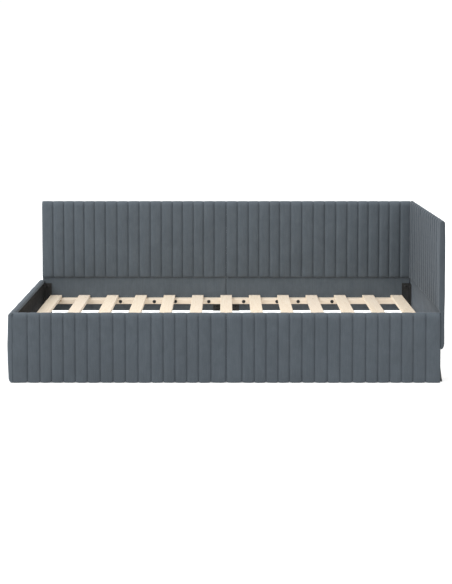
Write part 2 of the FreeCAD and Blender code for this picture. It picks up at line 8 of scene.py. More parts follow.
import bmesh
import bpy
import numpy as np
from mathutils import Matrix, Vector


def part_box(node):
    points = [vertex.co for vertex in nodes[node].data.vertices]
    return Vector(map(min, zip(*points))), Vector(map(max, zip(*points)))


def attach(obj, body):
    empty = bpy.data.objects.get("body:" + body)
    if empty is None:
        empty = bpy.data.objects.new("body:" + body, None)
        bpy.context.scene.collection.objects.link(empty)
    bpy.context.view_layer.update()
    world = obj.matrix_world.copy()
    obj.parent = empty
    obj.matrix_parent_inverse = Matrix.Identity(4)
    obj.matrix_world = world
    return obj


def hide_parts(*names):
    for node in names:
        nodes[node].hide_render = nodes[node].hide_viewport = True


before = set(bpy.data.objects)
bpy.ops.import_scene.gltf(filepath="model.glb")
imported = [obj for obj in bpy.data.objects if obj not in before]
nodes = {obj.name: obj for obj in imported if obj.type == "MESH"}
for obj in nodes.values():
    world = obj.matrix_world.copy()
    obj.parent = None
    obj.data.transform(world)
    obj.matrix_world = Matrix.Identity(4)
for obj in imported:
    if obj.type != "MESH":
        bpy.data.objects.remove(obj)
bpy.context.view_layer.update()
MM = 0.001


# ---------------------------------------------------------------- surfaces


class Panel:
    """An upholstered board that runs along an axis. Depths go in from the face of its cover."""

    def __init__(self, board, axis, face, inward):
        self.low, self.high = (np.array(corner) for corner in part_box(board))
        self.axis = axis
        self.face = face
        self.inward = inward

    def points(self, along, depth, height):
        """The grid of points at those places along the panel, depths and heights."""
        across = self.face + self.inward * depth
        flat = (along, across) if self.axis == 0 else (across, along)
        return np.stack(np.broadcast_arrays(*flat, height), axis=-1)

    def plane(self, share):
        """The plane at a share of the board's thickness from its face."""
        side = 1 - self.axis
        return self.low[side] + (self.high[side] - self.low[side]) * share


def straight(start, end, steps):
    """A straight run of a cross-section, without its end."""
    return np.linspace(start, end, steps, endpoint=False)


def bend(start, end, steps, flat_first):
    """A quarter of an ellipse of a cross-section, without its end. It leaves start flat or upright."""
    turn = np.linspace(0, math.pi / 2, steps, endpoint=False)
    slow, quick = 1 - np.cos(turn), np.sin(turn)
    depth_share, height_share = (quick, slow) if flat_first else (slow, quick)
    depths = start[0] + (end[0] - start[0]) * depth_share
    heights = start[1] + (end[1] - start[1]) * height_share
    return np.stack([depths, heights], axis=-1)


def section(*runs, end):
    """A cover's cross-section as rows of depth and height, with the way in from each row."""
    rows = np.concatenate([*runs, [end]])
    ahead = np.gradient(rows, axis=0)
    ahead /= np.linalg.norm(ahead, axis=1)[:, None]
    way_in = np.stack([ahead[:, 1], -ahead[:, 0]], axis=-1)
    return rows, way_in


def crown(distance, reach):
    """How full a stuffed surface is at a distance from its seam: 0 on the seam and 1 from reach on."""
    slack = 1 - np.clip(distance / reach, 0, 1)
    return (1 - slack**4) ** 0.75


def ripple(along, height, size, seed, waves=9):
    """Smooth, uneven waves of about one unit on a surface, about size apart."""
    draw = np.random.default_rng(seed)
    total = np.zeros(np.broadcast_shapes(along.shape, height.shape))
    for _ in range(waves):
        angle = draw.uniform(0, math.tau)
        rate = math.tau / (size * draw.uniform(0.6, 1.7))
        phase = draw.uniform(0, math.tau)
        total += np.sin(rate * (along * math.cos(angle) + height * math.sin(angle)) + phase)
    return total / math.sqrt(waves / 2)


def channel_edges(start, end, widths):
    """Where the sewn seams lie when channels of about these widths fill the whole length."""
    edges = np.concatenate([[0], np.cumsum(widths)])
    return start + (end - start) * edges / edges[-1]


def channel_columns(edges, end_dips, steps=14):
    """Places across the channels, closer together at the seams, and how full each place is.

    end_dips are the shares of a seam's dip that the outer sides of the first and last channels have."""
    turns = (1 - np.cos(np.arange(steps) / steps * math.pi)) / 2
    widths = np.diff(edges)
    along = (edges[:-1, None] + widths[:, None] * turns).ravel()
    half = np.repeat(widths / 2, steps)
    near = np.minimum(turns, 1 - turns)
    tight = 1 - np.append(crown((widths[:, None] * near).ravel(), half), 0)
    tight[: steps // 2] *= end_dips[0]
    tight[-steps // 2 :] *= end_dips[1]
    return np.append(along, edges[-1]), 1 - tight


def plain_columns(start, end, steps, roundings):
    """Places along a plain cover, closer together at its rounded ends, and how full each place is."""
    even = np.linspace(0, 1, steps + 1)
    turned = (1 - np.cos(even * math.pi)) / 2
    along = start + (end - start) * (0.4 * even + 0.6 * turned)
    return along, crown(along - start, roundings[0]) * crown(end - along, roundings[1])


def close_ends(outer, inner, panel, shares):
    """Adds columns past the two ends of a cover that wrap a share of the thickness of its board's ends."""
    side = 1 - panel.axis
    for end, share in ((0, shares[0]), (-1, shares[1])):
        rim = outer[end]
        halfway, shut = rim.copy(), rim.copy()
        halfway[:, side] = (rim[:, side] + panel.plane(share)) / 2
        shut[:, side] = panel.plane(share)
        extra = np.stack([shut, halfway] if end == 0 else [halfway, shut])
        kept = np.clip(extra, panel.low, panel.high)
        if end == 0:
            outer, inner = np.concatenate([extra, outer]), np.concatenate([kept, inner])
        else:
            outer, inner = np.concatenate([outer, extra]), np.concatenate([inner, kept])
    return outer, inner


def grid_quads(columns, rows, first=0):
    """The faces of a grid of vertices numbered column by column from first."""
    corner = first + np.arange(columns - 1)[:, None] * rows + np.arange(rows - 1)
    quads = np.stack([corner, corner + 1, corner + rows + 1, corner + rows], axis=-1)
    return quads.reshape(-1, 4)


def rim_of(columns, rows):
    """The border vertices of a grid, in order."""
    bottom = np.arange(columns) * rows
    right = (columns - 1) * rows + np.arange(1, rows)
    top = np.arange(columns - 2, -1, -1) * rows + rows - 1
    left = np.arange(rows - 2, 0, -1)
    return np.concatenate([bottom, right, top, left])


def finish_mesh(piece, smooth_angle=None):
    """Welds doubled points, turns the faces outwards and smooths the shading."""
    shape = bmesh.new()
    shape.from_mesh(piece.data)
    bmesh.ops.remove_doubles(shape, verts=shape.verts, dist=0.02 * MM)
    bmesh.ops.dissolve_degenerate(shape, edges=shape.edges, dist=0.01 * MM)
    bmesh.ops.recalc_face_normals(shape, faces=shape.faces)
    for face in shape.faces:
        face.smooth = True
    if smooth_angle:
        for edge in shape.edges:
            edge.smooth = len(edge.link_faces) == 2 and edge.calc_face_angle() < smooth_angle
    shape.to_mesh(piece.data)
    shape.free()


def new_piece(name, points, faces, material, replaced):
    """A mesh piece that rides on the bed and stands for the replaced nodes."""
    mesh = bpy.data.meshes.new(name)
    mesh.from_pydata(points, [], faces)
    piece = bpy.data.objects.new(name, mesh)
    bpy.context.scene.collection.objects.link(piece)
    mesh.materials.append(material)
    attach(piece, "root")
    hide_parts(*replaced)
    return piece


def shell(name, outer, inner, seam, material, replaced):
    """A closed cover between two grids of points, with how near each point is to a seam."""
    columns, rows, _ = outer.shape
    count = columns * rows
    rim = rim_of(columns, rows)
    after = np.roll(rim, -1)
    walls = np.stack([rim, rim + count, after + count, after], axis=-1)
    faces = np.concatenate([grid_quads(columns, rows), grid_quads(columns, rows, count)[:, ::-1], walls])
    points = np.concatenate([outer.reshape(-1, 3), inner.reshape(-1, 3)])
    piece = new_piece(name, points, faces.tolist(), material, replaced)
    nearness = piece.data.attributes.new("seam", "FLOAT", "POINT")
    nearness.data.foreach_set("value", np.concatenate([seam.ravel(), np.zeros(count)]))
    finish_mesh(piece)
    return piece


# --------------------------------------------------------------- materials


class Shader:
    """A material of one Principled shader and the nodes that feed it."""

    def __init__(self, name, **uniform):
        self.material = bpy.data.materials.new(name)
        self.material.use_nodes = True
        self.tree = self.material.node_tree
        self.principled = self.tree.nodes["Principled BSDF"]
        self.place = self.add("ShaderNodeTexCoord").outputs["Object"]
        for socket, value in uniform.items():
            self.principled.inputs[socket.replace("_", " ")].default_value = value

    def add(self, kind, settings=None, **inputs):
        """A new node. An input's value is a number or colour, or the output that feeds it."""
        node = self.tree.nodes.new(kind)
        for setting, value in (settings or {}).items():
            setattr(node, setting, value)
        for socket, value in inputs.items():
            self.feed(node.inputs[socket.replace("_", " ")], value)
        return node

    def feed(self, socket, value):
        if isinstance(value, bpy.types.NodeSocket):
            self.tree.links.new(value, socket)
        else:
            socket.default_value = value

    def stretched(self, scale, rotation=(0, 0, 0)):
        """Places on the object, stretched by a factor along each axis."""
        node = self.add("ShaderNodeMapping", Vector=self.place, Scale=scale, Rotation=rotation)
        return node.outputs["Vector"]

    def noise(self, places, scale, detail=3.0, roughness=0.55, distortion=0.0):
        node = self.add(
            "ShaderNodeTexNoise",
            Vector=places,
            Scale=scale,
            Detail=detail,
            Roughness=roughness,
            Distortion=distortion,
        )
        return node.outputs["Fac"]

    def remap(self, value, low, high, to_low, to_high):
        """A value from low to high, spread over to_low to to_high."""
        node = self.add("ShaderNodeMapRange", Value=value)
        ends = {"From Min": low, "From Max": high, "To Min": to_low, "To Max": to_high}
        for socket, end in ends.items():
            node.inputs[socket].default_value = end
        return node.outputs["Result"]

    def maths(self, operation, first, second=0.5):
        node = self.add("ShaderNodeMath", {"operation": operation})
        self.feed(node.inputs[0], first)
        self.feed(node.inputs[1], second)
        return node.outputs["Value"]

    def blend(self, share, first, second, how="MIX"):
        """A colour between two, or one combined with the other."""
        node = self.add("ShaderNodeMix", {"data_type": "RGBA", "blend_type": how})
        self.feed(node.inputs["Factor"], share)
        self.feed(node.inputs["A"], first)
        self.feed(node.inputs["B"], second)
        return node.outputs["Result"]

    def attribute(self, name):
        return self.add("ShaderNodeAttribute", {"attribute_name": name}).outputs["Fac"]

    def surface(self, colour=None, roughness=None, height=None, depth=0.0, strength=1.0):
        """Feeds the colour, roughness and relief to the shader."""
        if colour is not None:
            self.feed(self.principled.inputs["Base Color"], colour)
        if roughness is not None:
            self.feed(self.principled.inputs["Roughness"], roughness)
        if height is not None:
            bump = self.add("ShaderNodeBump", Height=height, Distance=depth, Strength=strength)
            self.feed(self.principled.inputs["Normal"], bump.outputs["Normal"])
        return self.material


def grey(value):
    return (value, value, value, 1)


def velvet(name, shade, painted_top_light, sheen):
    """Short slate-grey pile: cloudy where it leans, streaked along the nap, and darker in the seams, partly
    from pressed-down pile and partly as painted shade.

    shade is the cover's painted light level: each cover gets a lighter or darker copy of the one velvet, as
    painted light and painted shade for the light it gets, and the argument after it is how much painted top
    light is added where it faces up."""
    shader = Shader(
        name,
        Sheen_Weight=sheen,
        Sheen_Roughness=0.38,
        Sheen_Tint=(0.78, 0.88, 1, 1),
        Specular_IOR_Level=0.2,
    )
    clouds = shader.noise(shader.place, 7, 3, 0.6)
    patches = shader.noise(shader.stretched((1, 1, 0.6)), 28, 4, 0.6, 0.6)
    streaks = shader.noise(shader.stretched((1, 1, 0.035)), 330, 2, 0.5)
    pile = shader.noise(shader.stretched((1, 1, 0.45)), 1500, 2, 0.6)
    # painted light: shade scales the random cloudy tone up or down to each cover's painted light level
    nap_and_painted_light = shader.remap(clouds, 0.3, 0.7, 0.93 * shade, 1.07 * shade)
    for layer, low, high in ((patches, 0.95, 1.05), (streaks, 0.94, 1.06), (pile, 0.9, 1.1)):
        nap_and_painted_light = shader.maths("MULTIPLY", nap_and_painted_light, shader.remap(layer, 0.3, 0.7, low, high))
    # painted shade: darker near the seams, partly for pressed-down pile and partly for the shade in the
    # seams' creases
    seam_painted_shade = shader.remap(shader.attribute("seam"), 0, 1, 1, 0.82)
    facing = shader.add("ShaderNodeNewGeometry").outputs["Normal"]
    up = shader.add("ShaderNodeSeparateXYZ", Vector=facing).outputs["Z"]
    level = shader.maths("MULTIPLY", nap_and_painted_light, seam_painted_shade)
    # painted top light: the pile is painted lighter where its surface faces up, standing for light from above
    level = shader.maths("MULTIPLY", level, shader.remap(up, 0, 1, 1, painted_top_light))
    tint = shader.blend(
        shader.remap(patches, 0.3, 0.7, 0, 1), (0.079, 0.0955, 0.1115, 1), (0.083, 0.099, 0.1145, 1)
    )
    level = shader.add("ShaderNodeCombineColor", Red=level, Green=level, Blue=level).outputs["Color"]
    colour = shader.blend(1.0, tint, level, "MULTIPLY")
    roughness = shader.remap(clouds, 0.3, 0.7, 0.78, 0.9)
    relief = shader.maths("ADD", shader.maths("MULTIPLY", pile, 0.5), shader.maths("MULTIPLY", streaks, 0.4))
    return shader.surface(colour, roughness, relief, 0.6 * MM, 0.5)


def lining_cloth():
    """Black spun-bonded lining with its pattern of small welded dots."""
    shader = Shader("black lining", Specular_IOR_Level=0.15, Sheen_Weight=0.02, Sheen_Roughness=0.6)
    fibres = shader.noise(shader.place, 900, 4, 0.7, 1.5)
    clouds = shader.noise(shader.place, 22, 3)
    dots = shader.add("ShaderNodeTexVoronoi", Vector=shader.place, Scale=420.0, Randomness=0.15)
    welds = shader.remap(dots.outputs["Distance"], 0.15, 0.4, 0, 1)
    share = shader.maths("MULTIPLY", shader.remap(clouds, 0.3, 0.7, 0.3, 1), fibres)
    colour = shader.blend(share, (0.006, 0.006, 0.0062, 1), (0.016, 0.016, 0.0158, 1))
    relief = shader.maths("ADD", welds, fibres)
    return shader.surface(colour, shader.remap(fibres, 0.3, 0.7, 0.7, 0.92), relief, 0.3 * MM, 0.6)


def pine(name, along):
    """Raw planed pine: pale wood with yellower growth lines along an axis, fibres and a few small knots."""
    shader = Shader(name, Specular_IOR_Level=0.28)
    slow, quick = 0.55, 9.0
    lines = shader.stretched(tuple(slow if axis == along else quick for axis in range(3)))
    fibre = shader.stretched(tuple(6.0 if axis == along else 260.0 for axis in range(3)))
    broad = shader.stretched(tuple(0.25 if axis == along else 7.0 for axis in range(3)))
    boards = shader.noise(broad, 1.0, 1)
    waves = shader.noise(lines, 5.5, 3, 0.5, 1.2)
    rings = shader.maths("FRACT", shader.maths("MULTIPLY", waves, 9.0))
    late = shader.remap(rings, 0.55, 1.0, 0, 1)
    pores = shader.noise(fibre, 1.0, 3, 0.6)
    knots = shader.add(
        "ShaderNodeTexVoronoi",
        Vector=shader.stretched(tuple(0.6 if axis == along else 1.0 for axis in range(3))),
        Scale=9.0,
    )
    knot = shader.remap(knots.outputs["Distance"], 0.035, 0.075, 1, 0)
    wood = shader.blend(late, (0.87, 0.765, 0.62, 1), (0.76, 0.62, 0.45, 1))
    wood = shader.blend(shader.remap(boards, 0.35, 0.65, 0, 0.55), wood, (0.78, 0.68, 0.575, 1))
    wood = shader.blend(shader.remap(pores, 0.35, 0.75, 0, 0.35), wood, (0.66, 0.52, 0.38, 1))
    wood = shader.blend(shader.maths("MULTIPLY", knot, 0.7), wood, (0.33, 0.18, 0.09, 1))
    roughness = shader.remap(pores, 0.3, 0.7, 0.5, 0.68)
    relief = shader.maths("SUBTRACT", late, shader.maths("MULTIPLY", pores, 1.4))
    return shader.surface(wood, roughness, relief, 0.25 * MM, 0.5)


def black_wood():
    """Black stained timber whose grain still shows as fine ridges."""
    shader = Shader("black stained wood", Specular_IOR_Level=0.4)
    grain = shader.noise(shader.stretched((240, 240, 7)), 1.0, 4, 0.6, 0.3)
    colour = shader.blend(grain, (0.009, 0.009, 0.01, 1), (0.03, 0.028, 0.027, 1))
    return shader.surface(colour, shader.remap(grain, 0.3, 0.7, 0.38, 0.55), grain, 0.2 * MM, 0.6)


def powder_coat(name, pale, rough):
    """A black coat on steel, with its fine orange peel and scuffs."""
    shader = Shader(name, Metallic=0.0, Specular_IOR_Level=0.5)
    peel = shader.noise(shader.place, 1100, 2, 0.5)
    scuffs = shader.noise(shader.stretched((1, 2.2, 0.7)), 38, 5, 0.7)
    colour = shader.blend(shader.remap(scuffs, 0.5, 0.8, 0, 1), grey(pale), grey(pale * 2.4))
    roughness = shader.remap(scuffs, 0.3, 0.7, rough, rough + 0.16)
    return shader.surface(colour, roughness, peel, 0.12 * MM, 0.5)


def particle_board():
    """Pressed chips in several browns."""
    shader = Shader("particle board", Specular_IOR_Level=0.2)
    chips = shader.add("ShaderNodeTexVoronoi", Vector=shader.stretched((1, 1, 1.6)), Scale=260.0)
    shade = shader.add("ShaderNodeSeparateColor", Color=chips.outputs["Color"]).outputs["Red"]
    dust = shader.noise(shader.place, 700, 3, 0.6)
    colour = shader.blend(shade, (0.52, 0.38, 0.23, 1), (0.3, 0.2, 0.11, 1))
    colour = shader.blend(shader.remap(dust, 0.4, 0.7, 0, 0.5), colour, (0.6, 0.47, 0.31, 1))
    return shader.surface(colour, shader.remap(dust, 0.3, 0.7, 0.75, 0.92), shade, 0.3 * MM, 0.5)


def moulded_plastic():
    """Matte black plastic with a spark-eroded texture."""
    shader = Shader("black plastic", Specular_IOR_Level=0.45)
    texture = shader.noise(shader.place, 1600, 2, 0.6)
    colour = shader.blend(texture, grey(0.014), grey(0.026))
    return shader.surface(colour, shader.remap(texture, 0.3, 0.7, 0.5, 0.68), texture, 0.1 * MM, 0.5)


def zinc_plate():
    """Bright zinc on steel, brushed and slightly clouded."""
    shader = Shader("zinc plate", Metallic=1.0)
    clouds = shader.noise(shader.place, 320, 3, 0.6)
    brush = shader.noise(shader.stretched((1, 1, 12)), 900, 2, 0.5)
    colour = shader.blend(clouds, (0.5, 0.48, 0.43, 1), (0.68, 0.67, 0.62, 1))
    return shader.surface(colour, shader.remap(clouds, 0.3, 0.7, 0.28, 0.45), brush, 0.05 * MM, 0.4)


def studio_floor():
    """A pale matte sweep with the faint unevenness of painted board."""
    shader = Shader("studio floor", Specular_IOR_Level=0.1, Emission_Color=grey(1), Emission_Strength=0.22)
    cloud = shader.noise(shader.place, 1.3, 2)
    colour = shader.blend(cloud, grey(0.9), grey(0.93))
    return shader.surface(colour, shader.remap(cloud, 0.3, 0.7, 0.88, 0.95))


# Each cover's painted light level (a lighter or darker copy of the velvet for the light the cover gets,
# painted shade below 1 and painted light above it), how much painted top light it gets where it faces up, and
# its sheen.
COVER_PAINTED_LIGHT_AND_SHEEN = {
    "front": (0.72, 1.4, 0.3),
    "left": (0.93, 0.9, 0.2),
    "back": (0.95, 1.05, 0.3),
    "band": (1.06, 1, 0.3),
    "right": (0.59, 1, 0.2),
}
# one velvet material for each cover: lit and shaded copies whose levels are painted light and painted shade
VELVET = {place: velvet(f"slate velvet {place}", *looks) for place, looks in COVER_PAINTED_LIGHT_AND_SHEEN.items()}
LINING = lining_cloth()
PINE_ACROSS = pine("pine slat", 1)
PINE_ALONG = pine("pine rail", 0)
BLACK_ZINC = powder_coat("black zinc", 0.011, 0.3)
ZINC = zinc_plate()


# ----------------------------------------------------------- velvet covers

SEAM_DIP = {"front": 6.5 * MM, "back": 7.5 * MM, "end": 6 * MM}  # how far a sewn seam pulls the cover in
WRAP = {"left": (1, 0.5), "right": (0.5, 1)}  # the shares of a half's left end and right end that are wrapped
JOINT_LAP = 0.295 * MM  # how far a cover's closed end stands past its board at the middle joint
STUFFED = 3.5 * MM  # how far the stuffing lifts the tops of the low covers
END_RISE = 3 * MM  # how far it lifts the top of the high end
# The channels' widths in millimetres, from left to right or from the front to the back.
FRONT_CHANNELS = {
    "left": (73, 60, 54, 57, 57, 58, 62, 61, 59, 61, 62, 58, 56, 57, 55, 60, 73),
    "right": (76, 58, 56, 57, 54, 60, 60, 61, 60, 60, 62, 58, 57, 56, 55, 60, 70),
}
BACK_CHANNELS = {
    "left": (61, 60, 56, 56, 58, 60, 65, 61, 61, 62, 61, 61, 56, 60, 56, 60, 66),
    "right": (62, 61, 58, 59, 56, 61, 62, 63, 63, 62, 62, 61, 56, 60, 56, 61, 58),
}
END_CHANNELS = (60, 60, 59, 59, 60, 61, 62, 62, 61, 60, 59, 59, 60, 61, 61)
HEM = 10 * MM  # the stretch at a cover's borders over which the seams' dips fade out
HEM_SUNK = 0.8 * MM  # how far a cover's hem lies inside its rear plane
TOP_TURN = 9 * MM  # how far down the back of its board a cover's top hem comes
FRONT_LAP = 1.3 * MM  # how far the front's left end stands past its board
BACK_LAP = 1.2 * MM  # the same for the back
front_low, front_high = (Vector(corner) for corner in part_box("front_pad_left"))
back_low, back_high = (Vector(corner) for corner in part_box("back_pad_left"))
band_low = Vector(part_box("back_lower_cover_left")[0])
left_low, left_high = (Vector(corner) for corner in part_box("left_end_pad"))
tuft_low, tuft_high = (Vector(corner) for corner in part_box("right_end_pad"))
outer_low, outer_high = (Vector(corner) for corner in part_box("right_end_outer_cover"))
under_low, under_high = (Vector(corner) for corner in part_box("right_end_lower_cover"))


def hem_fade(rows, thickness):
    """How much of a seam's dip each row of a cross-section has: most on the face, none at the hems."""
    steps = np.linalg.norm(np.diff(rows, axis=0), axis=1)
    run = np.concatenate([[0], np.cumsum(steps)])
    hems = np.clip(np.minimum(run, run[-1] - run) / HEM, 0, 1)
    return np.clip(1 - rows[:, 0] / thickness, 0, 1) ** 1.1 * hems


def upholster(
    name, place, panel, columns, cross_section, thickness, dip, shut=None, seed=1, bow=None, replaced=()
):
    """A velvet cover on a panel. Its seams dip, its surface is a little uneven and it puckers at the seams.

    shut holds the shares of the thickness of its board's two ends that the cover wraps."""
    along, fullness = columns
    rows, way_in = cross_section
    depth, height = rows[:, 0], rows[:, 1]
    fade = hem_fade(rows, thickness)
    tight = 1 - fullness[:, None]
    puckers = ripple(along[:, None] * 0.3, height, 11 * MM, seed) * tight * (1 - tight) * 4
    soft = ripple(along[:, None], height, 120 * MM, seed + 1)
    sink = dip * tight * fade + (0.35 * MM * soft + 0.3 * MM * puckers) * fade
    if bow is not None:
        sink = sink + bow(height) * fade
    deep = depth + way_in[:, 0] * sink
    high = height + way_in[:, 1] * sink
    outer = panel.points(along[:, None], deep, high)
    inner = np.clip(outer, panel.low, panel.high)
    # how near each point is to a seam; the velvet paints shade and pressed-down pile darker there
    seam = np.clip(tight * 1.6 - 0.6, 0, 1) * fade
    if shut:
        outer, inner = close_ends(outer, inner, panel, shut)
        seam = np.pad(seam, [(2, 2), (0, 0)], mode="edge")
    piece = shell(name, outer, inner, seam, VELVET[place], replaced)
    return piece


def wrapped_section(low, high, thickness, board_low, board_high, base, foot, ridge, brow):
    """A cover that goes round the bottom and the top of its board, from one hem behind to the other.

    base and foot are how deep and how tall its bottom rounding is, and ridge and brow its top one."""
    nape = 9 * MM
    hem = thickness - HEM_SUNK
    return section(
        straight((hem, board_low + 11 * MM), (thickness, low + foot / 2), 3),
        bend((thickness, low + foot / 2), (base, low), 5, flat_first=False),
        bend((base, low), (0, low + foot), 8, flat_first=True),
        straight((0, low + foot), (0, high - brow), 34),
        bend((0, high - brow), (ridge, high), 11, flat_first=False),
        bend((ridge, high), (thickness, high - nape), 6, flat_first=True),
        straight((thickness, high - nape), (hem, board_high - TOP_TURN), 3),
        end=(hem, board_high - TOP_TURN),
    )


def front_covers():
    """The two halves of the front, each with its channels, rounded over the top and the bottom."""
    thickness = front_high.y - front_low.y
    for side in ("left", "right"):
        low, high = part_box(f"front_pad_{side}")
        board_low, board_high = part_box(f"front_board_{side}")
        start, end = low.x - FRONT_LAP, high.x + JOINT_LAP
        end_dips = (0.3, 1.25)
        if side == "right":
            start, end = low.x - JOINT_LAP, high.x + 2.4 * MM
            end_dips = (1.25, 0.6)
        panel = Panel(f"front_board_{side}", 0, low.y, 1)
        edges = channel_edges(start, end, FRONT_CHANNELS[side])
        upholster(
            f"front_cover_{side}",
            "front",
            panel,
            channel_columns(edges, end_dips),
            wrapped_section(
                low.z,
                high.z + STUFFED,
                thickness,
                board_low.z,
                board_high.z,
                base=5 * MM,
                foot=6 * MM,
                ridge=18 * MM,
                brow=31 * MM,
            ),
            thickness,
            SEAM_DIP["front"],
            shut=WRAP[side],
            seed=11 if side == "left" else 23,
            replaced=[f"front_pad_{side}"],
        )


def back_covers():
    """The channelled covers of the two halves of the back, which overhang the plain band below them;
    back_bands makes that band, which goes under the board.
    """
    thickness = back_high.y - back_low.y
    step = band_low.y - back_low.y
    overhang = 14 * MM
    brow, nape, ridge = 27 * MM, 9 * MM, 0.68 * thickness
    for side in ("left", "right"):
        low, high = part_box(f"back_pad_{side}")
        board_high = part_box(f"back_board_{side}")[1]
        hem = thickness - HEM_SUNK
        seam = low.z
        start, end = low.x - BACK_LAP, high.x + JOINT_LAP
        end_dips = (0.6, 1)
        if side == "right":
            start, end = low.x - JOINT_LAP, under_low.x
            end_dips = (1, 0.6)
        edges = channel_edges(start, end, BACK_CHANNELS[side])
        cross_section = section(
            bend((step, seam), (0, seam + overhang), 9, flat_first=True),
            straight((0, seam + overhang), (0, high.z - brow), 42),
            bend((0, high.z - brow), (ridge, high.z), 11, flat_first=False),
            bend((ridge, high.z), (thickness, high.z - nape), 6, flat_first=True),
            straight((thickness, high.z - nape), (hem, board_high.z - TOP_TURN), 3),
            end=(hem, board_high.z - TOP_TURN),
        )
        upholster(
            f"back_cover_{side}",
            "back",
            Panel(f"back_board_{side}", 0, low.y, 1),
            channel_columns(edges, end_dips),
            cross_section,
            thickness,
            SEAM_DIP["back"],
            shut=WRAP[side],
            seed=31 if side == "left" else 47,
            replaced=[f"back_pad_{side}"],
        )


def back_bands():
    """The plain strips under the back's channels."""
    for side in ("left", "right"):
        low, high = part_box(f"back_lower_cover_{side}")
        board_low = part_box(f"back_board_{side}")[0]
        thickness = high.y - low.y
        hem = thickness - HEM_SUNK
        foot, tuck = 7 * MM, 4 * MM
        cross_section = section(
            straight((hem, board_low.z + 14 * MM), (thickness, low.z + foot / 2), 3),
            bend((thickness, low.z + foot / 2), (thickness / 2, low.z), 5, flat_first=False),
            bend((thickness / 2, low.z), (0, low.z + foot), 6, flat_first=True),
            straight((0, low.z + foot), (0, high.z - tuck), 22),
            bend((0, high.z - tuck), (2.5 * MM, high.z), 4, flat_first=False),
            end=(2.5 * MM, high.z),
        )
        start, end = low.x - BACK_LAP, high.x + JOINT_LAP
        if side == "right":
            start, end = low.x - JOINT_LAP, under_low.x + 1 * MM
        upholster(
            f"back_band_{side}",
            "band",
            Panel(f"back_board_{side}", 0, low.y, 1),
            plain_columns(start, end, 90, (6 * MM, 6 * MM)),
            cross_section,
            thickness,
            3 * MM,
            shut=WRAP[side],
            seed=53 if side == "left" else 61,
            replaced=[f"back_lower_cover_{side}"],
        )


def left_end_cover():
    """The plain low end: it bows out between its top and its foot, and its front closes the corner."""
    low, high = left_low, left_high
    board_low, board_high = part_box("left_end_board")
    thickness = high.x - low.x
    centre = (low.z + high.z) / 2

    def bow(height):
        away = (height - centre) / (high.z - centre)
        return np.where(away > 0, 4 * MM, 5 * MM) * away**2 - 3 * MM

    rows, way_in = wrapped_section(
        low.z,
        high.z + STUFFED,
        thickness,
        board_low.z,
        board_high.z,
        base=14 * MM,
        foot=24 * MM,
        ridge=14 * MM,
        brow=13 * MM,
    )
    piece = upholster(
        "left_end_cover",
        "left",
        Panel("left_end_board", 1, low.x, 1),
        plain_columns(low.y, high.y + JOINT_LAP, 120, (12 * MM, 20 * MM)),
        (rows, way_in),
        thickness,
        9 * MM,
        shut=(1, 1),
        seed=71,
        bow=bow,
        replaced=["left_end_pad"],
    )
    front_cover_end = front_low.x - FRONT_LAP - 0.05 * MM
    for vertex in piece.data.vertices:
        if vertex.co.y < front_high.y:
            vertex.co.x = min(vertex.co.x, front_cover_end)


front_covers()
back_covers()
back_bands()
left_end_cover()


# -------------------------------------------------------------- right end


def right_end_tufts():
    """The inner face of the high end: narrow channels from behind its smooth front edge to the back."""
    front_edge = 38 * MM
    low, high = tuft_low, tuft_high + Vector((0, 0, END_RISE))
    ridge = (outer_high.x - low.x) / 2
    seam = low.z - 1 * MM
    overhang, brow = 12 * MM, 20 * MM
    cross_section = section(
        bend((under_low.x - low.x, seam), (0, seam + overhang), 8, flat_first=True),
        straight((0, seam + overhang), (0, high.z - brow), 40),
        bend((0, high.z - brow), (ridge, high.z), 11, flat_first=False),
        straight((ridge, high.z), (ridge + 1 * MM, high.z - 6 * MM), 3),
        end=(ridge + 1 * MM, high.z - 6 * MM),
    )
    edges = channel_edges(low.y + front_edge, high.y, END_CHANNELS)
    upholster(
        "right_end_tufts",
        "right",
        Panel("right_end_board", 1, low.x, 1),
        channel_columns(edges, (0.7, 1), 12),
        cross_section,
        1.7 * ridge,
        SEAM_DIP["end"],
        seed=83,
        replaced=["right_end_pad"],
    )


def right_end_band():
    """The thin plain strip under the channels of the high end."""
    low, high = under_low, under_high
    foot, tuck = 6 * MM, 3 * MM
    cross_section = section(
        bend((9 * MM, low.z + 0.5 * MM), (0, low.z + foot), 6, flat_first=True),
        straight((0, low.z + foot), (0, high.z - tuck), 20),
        bend((0, high.z - tuck), (2 * MM, high.z), 4, flat_first=False),
        end=(2 * MM, high.z),
    )
    upholster(
        "right_end_band",
        "right",
        Panel("right_end_board", 1, low.x, 1),
        plain_columns(low.y + 12 * MM, band_low.y + 5 * MM, 70, (3 * MM, 1 * MM)),
        cross_section,
        12 * MM,
        0.5 * MM,
        seed=97,
        replaced=["right_end_lower_cover"],
    )


